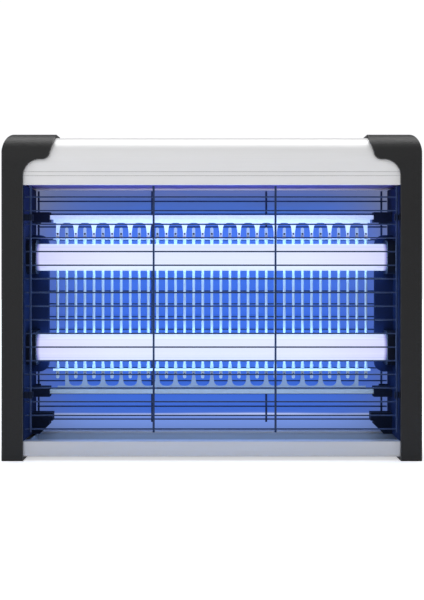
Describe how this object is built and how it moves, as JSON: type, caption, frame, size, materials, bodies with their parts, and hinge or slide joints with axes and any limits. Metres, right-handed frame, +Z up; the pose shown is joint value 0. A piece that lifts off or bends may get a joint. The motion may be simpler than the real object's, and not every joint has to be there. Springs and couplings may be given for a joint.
{
  "type": "electric bug zapper",
  "caption": "Two-sided electric bug zapper with an aluminium housing, black hooked end caps, wire guards, ultraviolet tubes, a rod grid and a slide-out tray.",
  "frame": {"origin": "centre of the bottom of the object's box, on the surface it stands on", "axes": "+X along the tubes to the object's right, +Y to the rear, +Z up"},
  "size_m": [0.39, 0.09, 0.305],
  "materials": {
    "cap_plastic": "fine satin grain",
    "inner_plastic": "matte moulded",
    "housing_aluminium": "satin anodised",
    "rail_aluminium": "satin anodised, fine lengthwise lines",
    "sheet_aluminium": "bright rolled sheet",
    "guard_wire": "dark satin coating on steel wire",
    "lamp_glass": "phosphor-coated glass, smooth and milky",
    "lamp_cap_metal": "drawn, bright",
    "contact_brass": "bright",
    "rotor_plastic": "smooth white moulding",
    "grid_steel": "bright drawn wire and stamped plate",
    "strip_plastic": "clear-white insulating strip",
    "screw_steel": "zinc plated",
    "board_laminate": "green laminate",
    "core_steel": "varnished laminations",
    "coil_tape": "yellow wrapping tape",
    "film_capacitor_case": "dipped case",
    "can_aluminium": "sleeved can",
    "fuse_glass": "clear tube",
    "lead_insulation": "soft wire insulation"
  },
  "bodies": {
    "frame": {"top_housing": "housing_aluminium", "housing_floor": "sheet_aluminium", "front_rail": "rail_aluminium", "rear_rail": "rail_aluminium", "end_cap_screws": "screw_steel", "carrier_screws": "screw_steel", "front_guard_fittings": "inner_plastic", "rear_guard_fittings": "inner_plastic", "top_grid_bar": "grid_steel", "bottom_grid_bar": "grid_steel", "top_comb": "grid_steel", "bottom_comb": "grid_steel", "upper_hung_rods": "grid_steel", "lower_held_rods": "grid_steel", "upper_spacer_strip": "strip_plastic", "lower_spacer_strip": "strip_plastic", "circuit_board": "board_laminate", "board_pillars": "screw_steel", "transformer_core": "core_steel", "transformer_winding": "coil_tape", "lamp_choke_cores": "core_steel", "lamp_choke_windings": "coil_tape", "film_capacitors": "film_capacitor_case", "reservoir_capacitor": "can_aluminium", "fuse": "fuse_glass", "terminal_block": "rotor_plastic", "lamp_leads": "lead_insulation", "high_voltage_leads": "lead_insulation", "mains_leads": "lead_insulation", "cable_gland": "cap_plastic", "gland_nut": "cap_plastic", "corner_gussets": "inner_plastic", "left_end_cap": "cap_plastic", "right_end_cap": "cap_plastic", "left_lamp_carrier": "inner_plastic", "right_lamp_carrier": "inner_plastic", "left_top_grid_holder": "inner_plastic", "right_top_grid_holder": "inner_plastic", "left_bottom_grid_holder": "inner_plastic", "right_bottom_grid_holder": "inner_plastic", "upper_left_lampholder": "inner_plastic", "upper_right_lampholder": "inner_plastic", "lower_left_lampholder": "inner_plastic", "lower_right_lampholder": "inner_plastic"},
    "front_guard": {"front_guard_wires": "guard_wire", "front_guard_uprights": "guard_wire"},
    "rear_guard": {"rear_guard_wires": "guard_wire", "rear_guard_uprights": "guard_wire"},
    "upper_tube": {"upper_tube_glass": "lamp_glass", "upper_tube_caps": "lamp_cap_metal", "upper_tube_pins": "contact_brass", "upper_left_rotor": "rotor_plastic", "upper_right_rotor": "rotor_plastic"},
    "lower_tube": {"lower_tube_glass": "lamp_glass", "lower_tube_caps": "lamp_cap_metal", "lower_tube_pins": "contact_brass", "lower_left_rotor": "rotor_plastic", "lower_right_rotor": "rotor_plastic"},
    "tray": {"collection_tray": "sheet_aluminium", "tray_pull": "cap_plastic"}
  },
  "joints": [
    {"name": "front_guard_hinge", "type": "hinge", "parent": "frame", "child": "front_guard", "pos_m": [-0.1684, -0.0396, 0.14], "axis": [0, 0, -1], "range_deg": [0, 100]},
    {"name": "rear_guard_hinge", "type": "hinge", "parent": "frame", "child": "rear_guard", "pos_m": [0.1684, 0.0396, 0.14], "axis": [0, 0, -1], "range_deg": [0, 100]},
    {"name": "upper_tube_twist", "type": "hinge", "parent": "frame", "child": "upper_tube", "pos_m": [0, -0.012, 0.189], "axis": [1, 0, 0], "range_deg": [0, 90]},
    {"name": "lower_tube_twist", "type": "hinge", "parent": "frame", "child": "lower_tube", "pos_m": [0, -0.012, 0.1032], "axis": [1, 0, 0], "range_deg": [0, 90]},
    {"name": "tray_slide", "type": "slide", "parent": "frame", "child": "tray", "axis": [1, 0, 0], "range_m": [0, 0.36]}
  ]
}
